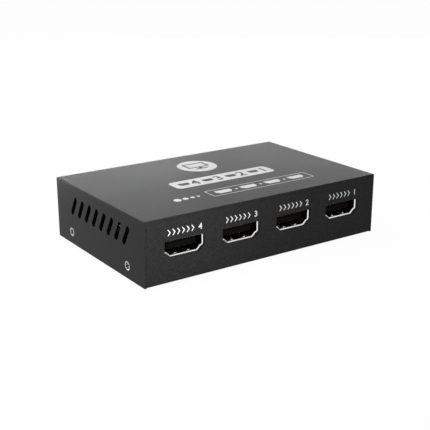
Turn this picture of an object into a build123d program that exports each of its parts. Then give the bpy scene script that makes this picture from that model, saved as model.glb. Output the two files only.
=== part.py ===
from build123d import *
import os

os.makedirs("parts", exist_ok=True)

# A video splitter with one input and four outputs, in a folded steel case. Millimetres, +Z up.
# The origin lies under the middle of the case, on the surface that the rubber feet stand on.
# The four outputs face -Y. The input, the power socket, the switch and the lamp face +Y.

# The case: an upper sheet folded down at both sides, over a tray folded up at both ends
case_width = 96.0
case_depth = 61.0
case_height = 21.8
sheet = 0.8
bend_radius = 0.5
seam = 0.08
overrun = 1.0

# Cooling slots, alike in both side walls, their tops leaning towards the outputs
slot_count = 8
slot_pitch = 5.22
slot_length = 7.7
slot_width = 2.0
slot_corner = 0.6
slot_lean_degrees = 30.0
slot_level = 14.4
slot_row_shift = 1.15

# Countersunk screws through the side walls into tabs of the tray
cover_screw_inset = 10.7
cover_screw_level = 4.3
cover_screw_radius = 0.75
cover_screw_length = 4.5
head_clearance = 0.05
thread_clearance = 0.05
shank_clearance = 0.15
tab_width = 9.0
tab_height = 6.4
relief_width = 0.8
relief_depth = 1.6
countersink_degrees = 90.0

# Rubber feet under the tray
foot_radius = 4.0
foot_height = 1.2
foot_inset_x = 11.0
foot_inset_y = 10.5

# Circuit board on pressed standoffs. Round pieces that the case hides have this many sides.
hidden_sides = 12
board_thickness = 1.6
board_end_gap = 0.5
board_side_gap = 1.2
standoff_height = 5.7
standoff_sides = 6
standoff_flats = 5.0
spigot_flats = 3.6
spigot_gap = 0.02
post_inset_x = 4.6
post_inset_y = 4.5
board_screw_radius = 1.25
board_screw_length = 5.0
board_screw_head_radius = 2.2
board_screw_head_height = 1.5

# Video socket: a folded shell round a moulded tongue with two rows of contacts
output_count = 4
output_inset = 15.0
input_inset = 32.0
mouth_width = 14.0
mouth_height = 4.65
mouth_side = 3.1
mouth_step = 0.55
mouth_step_drop = 0.2
mouth_floor = 9.9
mouth_corner = 0.2
shell_wall = 0.4
shell_depth = 10.6
shell_setback = 0.9
shell_seat = 0.2
socket_hole_gap = 0.12
leg_width = 1.4
leg_front = 3.2
leg_rear = 8.8
leg_tail = 0.8
leg_clearance = 0.15
spring_spacing = 5.0
spring_width = 1.7
spring_length = 5.2
spring_slit = 0.3
spring_tip = 0.7
dimple_setback = 0.5
dimple_radius = 0.45
dimple_height = 0.25
dimple_sides = 8
dimple_taper_degrees = 40.0
tongue_width = 11.2
tongue_thickness = 1.95
tongue_drop = 1.0
tongue_recess = 1.4
tongue_bevel = 0.25
tongue_root = 7.6
insert_gap = 0.15
upper_contact_count = 10
lower_contact_count = 9
contact_pitch = 1.0
contact_width = 0.4
contact_thickness = 0.2
contact_setback = 0.5
contact_slit_gap = 0.3
contact_run = 0.5

# Power socket for a round plug
jack_inset = 15.0
jack_width = 9.0
jack_height = 11.0
jack_depth = 13.5
jack_axis_height = 6.4
jack_hole_radius = 4.1
jack_panel_gap = 0.15
jack_bore_radius = 3.1
jack_bore_depth = 10.0
jack_pin_radius = 1.0
jack_pin_recess = 1.5
jack_lug_width = 2.4
jack_lug_thickness = 0.4
jack_spring_recess = 3.0
jack_spring_gap = 0.25
jack_spring_lug = 5.0

# Slide switch
switch_from_jack = 13.5
switch_width = 8.6
switch_depth = 3.8
switch_height = 3.8
switch_wall = 0.3
switch_panel_gap = 0.35
switch_base_height = 1.0
switch_gap = 0.15
switch_travel = 2.0
lever_width = 2.0
lever_height = 1.5
lever_proud = 0.9
lever_corner = 0.2
lever_clearance = 0.25
carriage_width = 4.4
switch_pin_count = 3
switch_pin_pitch = 2.5
switch_pin_side = 0.5
switch_leg_width = 0.8

# Power lamp
lamp_width = 3.0
lamp_height = 1.6
lamp_length = 5.3
lamp_corner = 0.3
lamp_proud = 0.45
lamp_axis_height = 3.1
lamp_wire = 0.5
lamp_wire_pitch = 1.8
lamp_wire_run = 1.2

# Splitter chip under its cooling block
chip_side = 12.0
chip_height = 1.1
chip_lift = 0.1
pad_side = 11.0
pad_height = 0.5
sink_side = 15.0
sink_base = 1.5
sink_height = 6.0
sink_fin_count = 7
sink_fin = 0.8
lead_pitch = 1.27
lead_width = 0.4
lead_thickness = 0.2
lead_reach = 0.9
lead_knee = 0.3

# Smaller chips, with their places as shares of half the board
control_chip_length = 10.0
control_chip_width = 4.0
control_chip_height = 1.5
control_chip_lead_count = 7
control_chip_place_shares = (-0.5, 0.12)
memory_chip_length = 5.0
memory_chip_lead_count = 4
memory_chip_place_shares = (-0.5, -0.22)
regulator_length = 6.5
regulator_width = 3.5
regulator_height = 1.6
regulator_tab_width = 3.0
regulator_tab_reach = 1.4
regulator_tab_height = 0.4
regulator_column_shares = (0.5, 0.75)
line_chip_length = 2.6
line_chip_width = 1.1
line_chip_height = 0.6
line_chip_spacing = 5.0

# Larger board parts, placed the same way
choke_side = 6.2
choke_height = 3.2
choke_corner = 1.2
choke_place_shares = (0.3, 0.02)
crystal_length = 5.0
crystal_width = 3.2
crystal_height = 1.0
crystal_lid_inset = 0.4
crystal_lid_height = 0.3
crystal_place_shares = (-0.8, 0.12)
can_radius = 3.1
can_height = 5.4
can_base_side = 6.6
can_base_height = 0.7
can_base_bevel = 1.2
can_place_shares = ((0.5, 0.3), (0.75, 0.3))

# Chip resistors and capacitors in rows behind the outputs
small_chip_length = 1.6
small_chip_width = 0.8
small_chip_height = 0.5
small_chip_count = 6
small_chip_pitch = 1.6
row_gap = 0.8

# Levels and places that follow from the sizes above. The sockets' rims lie behind the panels' outer faces.
cover_screw_head_radius = cover_screw_radius + sheet
cover_screw_spacing = case_depth - 2 * cover_screw_inset
base_level = foot_height
roof_level = base_level + case_height
panel_top = roof_level - sheet - seam
panel_width = case_width - 2 * (sheet + seam)
board_width = case_width - 2 * (sheet + board_side_gap)
board_depth = case_depth - 2 * (sheet + board_end_gap)
board_bottom = base_level + sheet + standoff_height
board_top = board_bottom + board_thickness
post_spacing_x = case_width - 2 * post_inset_x
post_spacing_y = case_depth - 2 * post_inset_y
socket_drop = mouth_height / 2 + shell_wall + shell_seat
socket_level = board_top + socket_drop
output_pitch = (case_width - 2 * output_inset) / (output_count - 1)
input_x = input_inset - case_width / 2
jack_x = case_width / 2 - jack_inset
switch_x = jack_x - switch_from_jack
lamp_x = (switch_x + input_x) / 2


def facing_outputs(x, level):
    """A plane on the outer face of the output panel, looking out of the case."""
    return Plane(origin=(x, -case_depth / 2, level), x_dir=(1, 0, 0), z_dir=(0, -1, 0))


def facing_input(x, level):
    """The same on the input panel."""
    return Plane(origin=(x, case_depth / 2, level), x_dir=(-1, 0, 0), z_dir=(0, 1, 0))


def on_board(shares):
    """A place on the board, from shares of its half width and half depth."""
    return (shares[0] * board_width / 2, shares[1] * board_depth / 2)


output_places = []
for number in range(output_count):
    output_x = case_width / 2 - output_inset - number * output_pitch
    output_places.append(facing_outputs(output_x, socket_level).offset(-shell_setback))
input_place = facing_input(input_x, socket_level).offset(-shell_setback)
socket_places = output_places + [input_place]
jack_place = facing_input(jack_x, board_top + jack_axis_height)
lamp_place = facing_input(lamp_x, board_top + lamp_axis_height).offset(lamp_proud)
lever_level = board_top + switch_base_height + (switch_height - switch_base_height - switch_wall) / 2

# Outline of a video socket's mouth: upright sides, a small step, then slopes to a narrower floor
with BuildSketch() as mouth_lines:
    half_width = mouth_width / 2
    top = mouth_height / 2
    side_end = top - mouth_side
    with BuildLine():
        Polyline(
            (-half_width, top),
            (half_width, top),
            (half_width, side_end),
            (half_width - mouth_step, side_end - mouth_step_drop),
            (mouth_floor / 2, -top),
            (-mouth_floor / 2, -top),
            (-half_width + mouth_step, side_end - mouth_step_drop),
            (-half_width, side_end),
            close=True,
        )
    make_face()

with BuildSketch() as mouth_shape:
    add(mouth_lines.sketch)
    chamfer(mouth_shape.vertices(), length=mouth_corner)

with BuildSketch() as shell_shape:
    add(mouth_lines.sketch)
    offset(amount=shell_wall, kind=Kind.INTERSECTION)
    chamfer(shell_shape.vertices(), length=mouth_corner)

with BuildSketch() as panel_hole_shape:
    add(mouth_lines.sketch)
    offset(amount=shell_wall + socket_hole_gap, kind=Kind.INTERSECTION)
    chamfer(panel_hole_shape.vertices(), length=mouth_corner)

# Upper sheet of the case, with its cooling slots and countersunk screw holes
left_wall = Plane(
    origin=(-case_width / 2, 0, base_level + cover_screw_level), x_dir=(0, -1, 0), z_dir=(-1, 0, 0)
)
right_wall = Plane(
    origin=(case_width / 2, 0, base_level + cover_screw_level), x_dir=(0, 1, 0), z_dir=(1, 0, 0)
)
with BuildPart() as top_cover:
    with BuildSketch(Plane.XZ) as cover_profile:
        with Locations((0, base_level)):
            Rectangle(case_width, case_height, align=(Align.CENTER, Align.MIN))
            fillet(cover_profile.vertices().group_by(Axis.Y)[-1], radius=bend_radius)
            Rectangle(
                case_width - 2 * sheet,
                case_height - sheet,
                align=(Align.CENTER, Align.MIN),
                mode=Mode.SUBTRACT,
            )
    extrude(amount=case_depth / 2, both=True)
    with BuildSketch(Plane.YZ) as cooling_slots:
        with Locations((-slot_row_shift, base_level + slot_level)):
            with GridLocations(slot_pitch, 0, slot_count, 1):
                Rectangle(slot_width, slot_length, rotation=slot_lean_degrees)
        chamfer(cooling_slots.vertices(), length=slot_corner)
    extrude(amount=case_width / 2 + overrun, both=True, mode=Mode.SUBTRACT)
    with Locations(left_wall, right_wall):
        with GridLocations(cover_screw_spacing, 0, 2, 1):
            CounterSinkHole(
                radius=cover_screw_radius + head_clearance,
                counter_sink_radius=cover_screw_head_radius + head_clearance,
                depth=sheet + overrun,
                counter_sink_angle=countersink_degrees,
            )
top_cover.part.label = "top_cover"
export_step(top_cover.part, "parts/top_cover.step")

# Tray: bottom, output panel and input panel in one fold, with four screw tabs
with BuildPart() as base_tray:
    with BuildSketch(Plane.YZ) as tray_profile:
        with Locations((0, panel_top)):
            Rectangle(case_depth, panel_top - base_level, align=(Align.CENTER, Align.MAX))
            fillet(tray_profile.vertices().group_by(Axis.Y)[0], radius=bend_radius)
            Rectangle(
                case_depth - 2 * sheet,
                panel_top - base_level - sheet,
                align=(Align.CENTER, Align.MAX),
                mode=Mode.SUBTRACT,
            )
    extrude(amount=panel_width / 2, both=True)
    with BuildSketch(Plane.XY.offset(base_level)):
        with GridLocations(panel_width - relief_depth, cover_screw_spacing, 2, 2):
            with GridLocations(0, tab_width + relief_width, 1, 2):
                Rectangle(relief_depth, relief_width)
    extrude(amount=sheet, mode=Mode.SUBTRACT)
    with BuildSketch(Plane.XY.offset(base_level)):
        with GridLocations(panel_width - sheet, cover_screw_spacing, 2, 2):
            Rectangle(sheet, tab_width)
    extrude(amount=tab_height)
    lowest_edges = base_tray.edges().filter_by(Axis.Y).group_by(Axis.Z)[0]
    tab_edges = lowest_edges.filter_by(lambda edge: abs(abs(edge.center().X) - panel_width / 2) < seam)
    tab_edges = tab_edges.filter_by(lambda edge: abs(edge.length - tab_width) < seam)
    fillet(tab_edges, radius=bend_radius)
    with BuildSketch(Plane.YZ):
        with Locations((0, base_level + cover_screw_level)):
            with GridLocations(cover_screw_spacing, 0, 2, 1):
                Circle(cover_screw_radius + thread_clearance)
    extrude(amount=panel_width / 2, both=True, mode=Mode.SUBTRACT)
    with BuildSketch(Plane.XY.offset(base_level)):
        with GridLocations(post_spacing_x, post_spacing_y, 2, 2):
            RegularPolygon(spigot_flats / 2 + spigot_gap, standoff_sides, major_radius=False)
    extrude(amount=sheet, mode=Mode.SUBTRACT)
    with BuildSketch(*socket_places):
        add(panel_hole_shape.sketch)
    extrude(amount=shell_setback + overrun, both=True, mode=Mode.SUBTRACT)
    with BuildSketch(jack_place):
        Circle(jack_hole_radius)
    extrude(amount=sheet + overrun, both=True, mode=Mode.SUBTRACT)
    with BuildSketch(lamp_place):
        Rectangle(lamp_width + 2 * shank_clearance, lamp_height + 2 * shank_clearance)
    extrude(amount=lamp_proud + sheet + overrun, both=True, mode=Mode.SUBTRACT)
    with BuildSketch(facing_input(switch_x, lever_level)):
        Rectangle(lever_width + switch_travel + 2 * lever_clearance, lever_height + 2 * lever_clearance)
    extrude(amount=sheet + overrun, both=True, mode=Mode.SUBTRACT)
base_tray.part.label = "base_tray"
export_step(base_tray.part, "parts/base_tray.step")

# Countersunk case screws: one is turned, then set at the four places
with BuildPart() as cover_screw:
    with BuildSketch(Plane.XZ):
        with BuildLine():
            Polyline(
                (0, 0),
                (cover_screw_head_radius, 0),
                (cover_screw_radius, -sheet),
                (cover_screw_radius, -cover_screw_length),
                (0, -cover_screw_length),
                close=True,
            )
        make_face()
    revolve(axis=Axis.Z)
with BuildPart() as cover_screws:
    with Locations(left_wall, right_wall):
        with GridLocations(cover_screw_spacing, 0, 2, 1):
            add(cover_screw.part)
cover_screws.part.label = "cover_screws"
export_step(cover_screws.part, "parts/cover_screws.step")

# Self-adhesive feet
with BuildPart() as rubber_feet:
    with BuildSketch(Plane.XY.offset(base_level)):
        with GridLocations(case_width - 2 * foot_inset_x, case_depth - 2 * foot_inset_y, 2, 2):
            Circle(foot_radius)
    extrude(amount=-foot_height)
rubber_feet.part.label = "rubber_feet"
export_step(rubber_feet.part, "parts/rubber_feet.step")

# Six-sided standoffs, whose six-sided spigots are pressed into the tray
with BuildPart() as board_standoffs:
    with BuildSketch(Plane.XY.offset(base_level + sheet)):
        with GridLocations(post_spacing_x, post_spacing_y, 2, 2):
            RegularPolygon(standoff_flats / 2, standoff_sides, major_radius=False)
    extrude(amount=standoff_height)
    with BuildSketch(Plane.XY.offset(base_level)):
        with GridLocations(post_spacing_x, post_spacing_y, 2, 2):
            RegularPolygon(spigot_flats / 2, standoff_sides, major_radius=False)
    extrude(amount=sheet)
    with BuildSketch(Plane.XY.offset(base_level + sheet)):
        with GridLocations(post_spacing_x, post_spacing_y, 2, 2):
            RegularPolygon(board_screw_radius + thread_clearance, hidden_sides)
    extrude(amount=standoff_height, mode=Mode.SUBTRACT)
board_standoffs.part.label = "board_standoffs"
export_step(board_standoffs.part, "parts/board_standoffs.step")

# Flat-topped screws that hold the board down on the standoffs
with BuildPart() as board_screws:
    with BuildSketch(Plane.XY.offset(board_top)):
        with GridLocations(post_spacing_x, post_spacing_y, 2, 2):
            RegularPolygon(board_screw_radius, hidden_sides)
    extrude(amount=-board_screw_length)
    with BuildSketch(Plane.XY.offset(board_top)):
        with GridLocations(post_spacing_x, post_spacing_y, 2, 2):
            RegularPolygon(board_screw_head_radius, hidden_sides)
    extrude(amount=board_screw_head_height)
board_screws.part.label = "board_screws"
export_step(board_screws.part, "parts/board_screws.step")

# Video socket's shell in its own frame: rim at the origin, +Z out of the mouth, +Y up.
# A slit round three sides of each leaf leaves a spring, with a dimple that grips the plug.
with BuildPart() as shell:
    with BuildSketch():
        add(shell_shape.sketch)
        add(mouth_shape.sketch, mode=Mode.SUBTRACT)
    extrude(amount=-shell_depth)
    with BuildSketch(Plane.XZ):
        with Locations((0, -leg_front), (0, -leg_rear)):
            with GridLocations(mouth_width + shell_wall, 0, 2, 1):
                Rectangle(shell_wall, leg_width)
    extrude(amount=socket_drop + board_thickness + leg_tail)
    with BuildSketch(Plane.XZ):
        with Locations((0, -spring_tip - spring_length / 2)):
            with GridLocations(spring_spacing, 0, 2, 1):
                Rectangle(spring_width + 2 * spring_slit, spring_length)
        with Locations((0, -spring_tip - spring_slit - spring_length / 2)):
            with GridLocations(spring_spacing, 0, 2, 1):
                Rectangle(spring_width, spring_length, mode=Mode.SUBTRACT)
    extrude(amount=mouth_height / 2 + shell_wall + overrun, both=True, mode=Mode.SUBTRACT)
    dimple_depth = spring_tip + spring_slit + dimple_setback
    floor_face = Plane(origin=(0, -mouth_height / 2, -dimple_depth), x_dir=(1, 0, 0), z_dir=(0, 1, 0))
    roof_face = Plane(origin=(0, mouth_height / 2, -dimple_depth), x_dir=(1, 0, 0), z_dir=(0, -1, 0))
    with BuildSketch(floor_face, roof_face):
        with GridLocations(spring_spacing, 0, 2, 1):
            RegularPolygon(dimple_radius, dimple_sides)
    extrude(amount=dimple_height, taper=dimple_taper_degrees)

# Contacts: each lies along the tongue, passes through the block and turns down to the board
tongue_top = mouth_height / 2 - tongue_drop
tongue_bottom = tongue_top - tongue_thickness
contact_start = -(tongue_recess + contact_setback)
contact_turn = -(shell_depth + contact_run)
with BuildPart() as contacts:
    upper_span = (upper_contact_count - 1) * contact_pitch
    lower_span = (lower_contact_count - 1) * contact_pitch
    upper_line = tongue_top + contact_thickness / 2
    lower_line = tongue_bottom - contact_thickness / 2
    upper_planes = [Plane.YZ.offset(n * contact_pitch - upper_span / 2) for n in range(upper_contact_count)]
    lower_planes = [Plane.YZ.offset(n * contact_pitch - lower_span / 2) for n in range(lower_contact_count)]
    for line, planes in ((upper_line, upper_planes), (lower_line, lower_planes)):
        with BuildSketch(*planes):
            with BuildLine():
                Polyline((line, contact_start), (line, contact_turn), (-socket_drop, contact_turn))
            trace(line_width=contact_thickness)
        extrude(amount=contact_width / 2, both=True)

# Moulded block at the back of the shell, with the tongue that carries the contacts
with BuildPart() as tongue:
    with BuildSketch(Plane.XY.offset(-tongue_root)):
        add(mouth_lines.sketch)
        offset(amount=-insert_gap, kind=Kind.INTERSECTION)
    extrude(amount=-(shell_depth - tongue_root))
    with BuildSketch(Plane.XY.offset(-tongue_root)):
        with Locations((0, (tongue_top + tongue_bottom) / 2)):
            Rectangle(tongue_width, tongue_thickness)
    extrude(amount=tongue_root - tongue_recess)
    chamfer(tongue.faces().sort_by(Axis.Z)[-1].edges(), length=tongue_bevel)
    slit_width = upper_span + contact_width + 2 * contact_slit_gap
    with BuildSketch(Plane.XY.offset(-tongue_root)):
        with Locations((0, upper_line), (0, lower_line)):
            Rectangle(slit_width, contact_thickness)
    extrude(amount=-(shell_depth - tongue_root), mode=Mode.SUBTRACT)

socket_names = [f"output_{number + 1}" for number in range(output_count)] + ["input"]
for socket_name, place in zip(socket_names, socket_places):
    with BuildPart(place) as socket_shell:
        add(shell.part)
    socket_shell.part.label = f"{socket_name}_shell"
    export_step(socket_shell.part, f"parts/{socket_name}_shell.step")
    with BuildPart(place) as socket_tongue:
        add(tongue.part)
    socket_tongue.part.label = f"{socket_name}_tongue"
    export_step(socket_tongue.part, f"parts/{socket_name}_tongue.step")
    with BuildPart(place) as socket_contacts:
        add(contacts.part)
    socket_contacts.part.label = f"{socket_name}_contacts"
    export_step(socket_contacts.part, f"parts/{socket_name}_contacts.step")

# Power socket: the centre pin is riveted to a lug that runs down the back of the housing
jack_front = sheet + jack_panel_gap
jack_back = jack_front + jack_depth
lug_bottom = board_bottom - leg_tail
with BuildPart() as power_jack_pin:
    with BuildSketch(jack_place.offset(-jack_back)):
        Circle(jack_pin_radius)
    extrude(amount=jack_depth - jack_pin_recess)
    with BuildSketch(jack_place.offset(-jack_back)):
        lug_drop = jack_place.origin.Z - lug_bottom
        with Locations((0, (jack_pin_radius - lug_drop) / 2)):
            Rectangle(jack_lug_width, lug_drop + jack_pin_radius)
    extrude(amount=-jack_lug_thickness)
power_jack_pin.part.label = "power_jack_pin"
export_step(power_jack_pin.part, "parts/power_jack_pin.step")

# Its outer contact is a strip along the floor of the bore, with a lug down through the housing
with BuildPart() as power_jack_spring:
    with BuildSketch(Plane.YZ.offset(jack_x - jack_lug_width / 2)):
        strip_top = jack_place.origin.Z - jack_bore_radius + jack_spring_gap + jack_lug_thickness
        strip_front = jack_place.origin.Y - jack_front - jack_spring_recess
        strip_back = jack_place.origin.Y - jack_front - jack_bore_depth
        lug_y = strip_front - jack_spring_lug
        with BuildLine():
            Polyline(
                (strip_back, strip_top),
                (strip_back, strip_top - jack_lug_thickness),
                (lug_y, strip_top - jack_lug_thickness),
                (lug_y, lug_bottom),
                (lug_y + jack_lug_thickness, lug_bottom),
                (lug_y + jack_lug_thickness, strip_top - jack_lug_thickness),
                (strip_front, strip_top - jack_lug_thickness),
                (strip_front, strip_top),
                close=True,
            )
        make_face()
    extrude(amount=jack_lug_width)
power_jack_spring.part.label = "power_jack_spring"
export_step(power_jack_spring.part, "parts/power_jack_spring.step")

with BuildPart() as power_jack_housing:
    with BuildSketch(jack_place.offset(-jack_front)):
        with Locations((0, jack_height / 2 - jack_axis_height)):
            Rectangle(jack_width, jack_height)
    extrude(amount=-jack_depth)
    with BuildSketch(jack_place.offset(-jack_front)):
        Circle(jack_bore_radius)
    extrude(amount=-jack_bore_depth, mode=Mode.SUBTRACT)
    add(power_jack_pin.part, mode=Mode.SUBTRACT)
    add(power_jack_spring.part, mode=Mode.SUBTRACT)
power_jack_housing.part.label = "power_jack_housing"
export_step(power_jack_housing.part, "parts/power_jack_housing.step")

# Slide switch, in the "off" place: a can over a moulded base, with the slider between them
switch_front = case_depth / 2 - sheet - switch_panel_gap
switch_y = switch_front - switch_depth / 2
slider_x = switch_x - switch_travel / 2
room_width = switch_width - 2 * switch_wall
room_depth = switch_depth - 2 * switch_wall
room_height = switch_height - switch_base_height - switch_wall
with BuildPart() as power_switch_can:
    with BuildSketch(Plane.XY.offset(board_top)):
        with Locations((switch_x, switch_y)):
            Rectangle(switch_width, switch_depth)
    extrude(amount=switch_height)
    with BuildSketch(Plane.XY.offset(board_top)):
        with Locations((switch_x, switch_y)):
            Rectangle(room_width, room_depth)
    extrude(amount=switch_height - switch_wall, mode=Mode.SUBTRACT)
    with BuildSketch(Plane.XZ.offset(-switch_y)):
        with Locations((switch_x, lever_level)):
            Rectangle(
                lever_width + switch_travel + 2 * lever_clearance,
                lever_height + 2 * lever_clearance,
            )
    extrude(amount=-switch_depth, mode=Mode.SUBTRACT)
    with BuildSketch(Plane.XY.offset(board_top)):
        with Locations((switch_x, switch_y)):
            with GridLocations(switch_width - switch_wall, 0, 2, 1):
                Rectangle(switch_wall, switch_leg_width)
    extrude(amount=-(board_thickness + leg_tail))
power_switch_can.part.label = "power_switch_can"
export_step(power_switch_can.part, "parts/power_switch_can.step")

with BuildPart() as power_switch_pins:
    with BuildSketch(Plane.XY.offset(lug_bottom)):
        with Locations((switch_x, switch_y)):
            with GridLocations(switch_pin_pitch, 0, switch_pin_count, 1):
                Rectangle(switch_pin_side, switch_pin_side)
    extrude(amount=board_top + switch_base_height - lug_bottom)
power_switch_pins.part.label = "power_switch_pins"
export_step(power_switch_pins.part, "parts/power_switch_pins.step")

with BuildPart() as power_switch_base:
    with BuildSketch(Plane.XY.offset(board_top)):
        with Locations((switch_x, switch_y)):
            Rectangle(room_width, room_depth)
    extrude(amount=switch_base_height)
    add(power_switch_pins.part, mode=Mode.SUBTRACT)
power_switch_base.part.label = "power_switch_base"
export_step(power_switch_base.part, "parts/power_switch_base.step")

with BuildPart() as power_switch_slider:
    with BuildSketch(Plane.XY.offset(board_top + switch_base_height + switch_gap)):
        with Locations((slider_x, switch_y)):
            Rectangle(carriage_width, room_depth - 2 * switch_gap)
    extrude(amount=room_height - 2 * switch_gap)
    with BuildSketch(Plane.XZ.offset(-switch_y)) as lever:
        with Locations((slider_x, lever_level)):
            Rectangle(lever_width, lever_height)
        chamfer(lever.vertices(), length=lever_corner)
    extrude(amount=-(case_depth / 2 + lever_proud - switch_y))
power_switch_slider.part.label = "power_switch_slider"
export_step(power_switch_slider.part, "parts/power_switch_slider.step")

# Lamp: a clear block with two wires bent down to the board
with BuildPart() as power_lamp:
    with BuildSketch(lamp_place):
        Rectangle(lamp_width, lamp_height)
    extrude(amount=-lamp_length)
    chamfer(power_lamp.faces().sort_by(Axis.Y)[-1].edges(), length=lamp_corner)
power_lamp.part.label = "power_lamp"
export_step(power_lamp.part, "parts/power_lamp.step")

with BuildPart() as power_lamp_wires:
    wire_planes = [Plane.YZ.offset(lamp_x + side * lamp_wire_pitch / 2) for side in (-1, 1)]
    with BuildSketch(*wire_planes):
        wire_y = lamp_place.origin.Y - lamp_length
        lamp_z = lamp_place.origin.Z
        with BuildLine():
            Polyline((wire_y, lamp_z), (wire_y - lamp_wire_run, lamp_z), (wire_y - lamp_wire_run, lug_bottom))
        trace(line_width=lamp_wire)
    extrude(amount=lamp_wire / 2, both=True)
power_lamp_wires.part.label = "power_lamp_wires"
export_step(power_lamp_wires.part, "parts/power_lamp_wires.step")

# Circuit board, with a hole for every leg, lug and wire that passes through it
with BuildPart() as circuit_board:
    with BuildSketch(Plane.XY.offset(board_bottom)):
        Rectangle(board_width, board_depth)
        with GridLocations(post_spacing_x, post_spacing_y, 2, 2):
            RegularPolygon(board_screw_radius + shank_clearance, hidden_sides, mode=Mode.SUBTRACT)
        leg_x = (mouth_width + shell_wall) / 2
        for place in socket_places:
            for side in (-leg_x, leg_x):
                for depth in (leg_front, leg_rear):
                    spot = place.from_local_coords((side, 0, -depth))
                    with Locations((spot.X, spot.Y)):
                        Rectangle(
                            shell_wall + 2 * leg_clearance,
                            leg_width + 2 * leg_clearance,
                            mode=Mode.SUBTRACT,
                        )
        jack_back_y = jack_place.origin.Y - jack_back - jack_lug_thickness / 2
        spring_lug_y = lug_y + jack_lug_thickness / 2
        with Locations((jack_x, jack_back_y), (jack_x, spring_lug_y)):
            Rectangle(
                jack_lug_width + 2 * leg_clearance,
                jack_lug_thickness + 2 * leg_clearance,
                mode=Mode.SUBTRACT,
            )
        with Locations((switch_x, switch_y)):
            with GridLocations(switch_pin_pitch, 0, switch_pin_count, 1):
                Rectangle(
                    switch_pin_side + 2 * leg_clearance,
                    switch_pin_side + 2 * leg_clearance,
                    mode=Mode.SUBTRACT,
                )
            with GridLocations(switch_width - switch_wall, 0, 2, 1):
                Rectangle(
                    switch_wall + 2 * leg_clearance,
                    switch_leg_width + 2 * leg_clearance,
                    mode=Mode.SUBTRACT,
                )
        with Locations((lamp_x, wire_y - lamp_wire_run)):
            with GridLocations(lamp_wire_pitch, 0, 2, 1):
                Rectangle(
                    lamp_wire + 2 * leg_clearance,
                    lamp_wire + 2 * leg_clearance,
                    mode=Mode.SUBTRACT,
                )
    extrude(amount=board_thickness)
circuit_board.part.label = "circuit_board"
export_step(circuit_board.part, "parts/circuit_board.step")

# Splitter chip, its heat pad and its finned cooling block
chip_bottom = board_top + chip_lift
chip_top = chip_bottom + chip_height
with BuildPart() as splitter_chip:
    with BuildSketch(Plane.XY.offset(chip_bottom)):
        Rectangle(chip_side, chip_side)
    extrude(amount=chip_height)
splitter_chip.part.label = "splitter_chip"
export_step(splitter_chip.part, "parts/splitter_chip.step")

with BuildPart() as thermal_pad:
    with BuildSketch(Plane.XY.offset(chip_top)):
        Rectangle(pad_side, pad_side)
    extrude(amount=pad_height)
thermal_pad.part.label = "thermal_pad"
export_step(thermal_pad.part, "parts/thermal_pad.step")

with BuildPart() as cooling_block:
    with BuildSketch(Plane.XY.offset(chip_top + pad_height)):
        Rectangle(sink_side, sink_side)
    extrude(amount=sink_base)
    with BuildSketch(Plane.XY.offset(chip_top + pad_height + sink_base)):
        with GridLocations((sink_side - sink_fin) / (sink_fin_count - 1), 0, sink_fin_count, 1):
            Rectangle(sink_fin, sink_side)
    extrude(amount=sink_height - sink_base)
cooling_block.part.label = "cooling_block"
export_step(cooling_block.part, "parts/cooling_block.step")

# Smaller chips
control_chip_place = on_board(control_chip_place_shares)
memory_chip_place = on_board(memory_chip_place_shares)
with BuildPart() as control_chip:
    with BuildSketch(Plane.XY.offset(chip_bottom)):
        with Locations(control_chip_place):
            Rectangle(control_chip_length, control_chip_width)
    extrude(amount=control_chip_height)
control_chip.part.label = "control_chip"
export_step(control_chip.part, "parts/control_chip.step")

with BuildPart() as memory_chip:
    with BuildSketch(Plane.XY.offset(chip_bottom)):
        with Locations(memory_chip_place):
            Rectangle(memory_chip_length, control_chip_width)
    extrude(amount=control_chip_height)
memory_chip.part.label = "memory_chip"
export_step(memory_chip.part, "parts/memory_chip.step")

# Leads: each leaves its chip's side, drops to the board and ends in a foot
lead_rows = []
for turn in (0, 180):
    lead_rows.append(
        (control_chip_place, turn, control_chip_width / 2, control_chip_height, control_chip_lead_count)
    )
    lead_rows.append(
        (memory_chip_place, turn, control_chip_width / 2, control_chip_height, memory_chip_lead_count)
    )
with BuildPart() as chip_leads:
    for middle, turn, reach, height, count in lead_rows:
        outward = Vector(0, 1, 0).rotate(Axis.Z, turn)
        along = Vector(1, 0, 0).rotate(Axis.Z, turn)
        span = (count - 1) * lead_pitch
        row_planes = []
        for n in range(count):
            start = Vector(middle[0], middle[1], board_top) + outward * reach
            row_planes.append(
                Plane(origin=start + along * (n * lead_pitch - span / 2), x_dir=outward, z_dir=along)
            )
        lead_top = chip_lift + height / 2
        with BuildSketch(*row_planes):
            with BuildLine():
                Polyline(
                    (0, lead_top),
                    (lead_knee, lead_top),
                    (lead_knee, lead_thickness / 2),
                    (lead_reach, lead_thickness / 2),
                )
            trace(line_width=lead_thickness)
        extrude(amount=lead_width / 2, both=True)
chip_leads.part.label = "chip_leads"
export_step(chip_leads.part, "parts/chip_leads.step")

# Surge guards, two behind each output
line_chip_y = output_places[0].origin.Y - contact_turn + row_gap + line_chip_width / 2
with BuildPart() as surge_guards:
    with BuildSketch(Plane.XY.offset(board_top)):
        with Locations((0, line_chip_y)):
            with GridLocations(output_pitch, 0, output_count, 1):
                with GridLocations(line_chip_spacing, 0, 2, 1):
                    Rectangle(line_chip_length, line_chip_width)
    extrude(amount=line_chip_height)
surge_guards.part.label = "surge_guards"
export_step(surge_guards.part, "parts/surge_guards.step")

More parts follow.
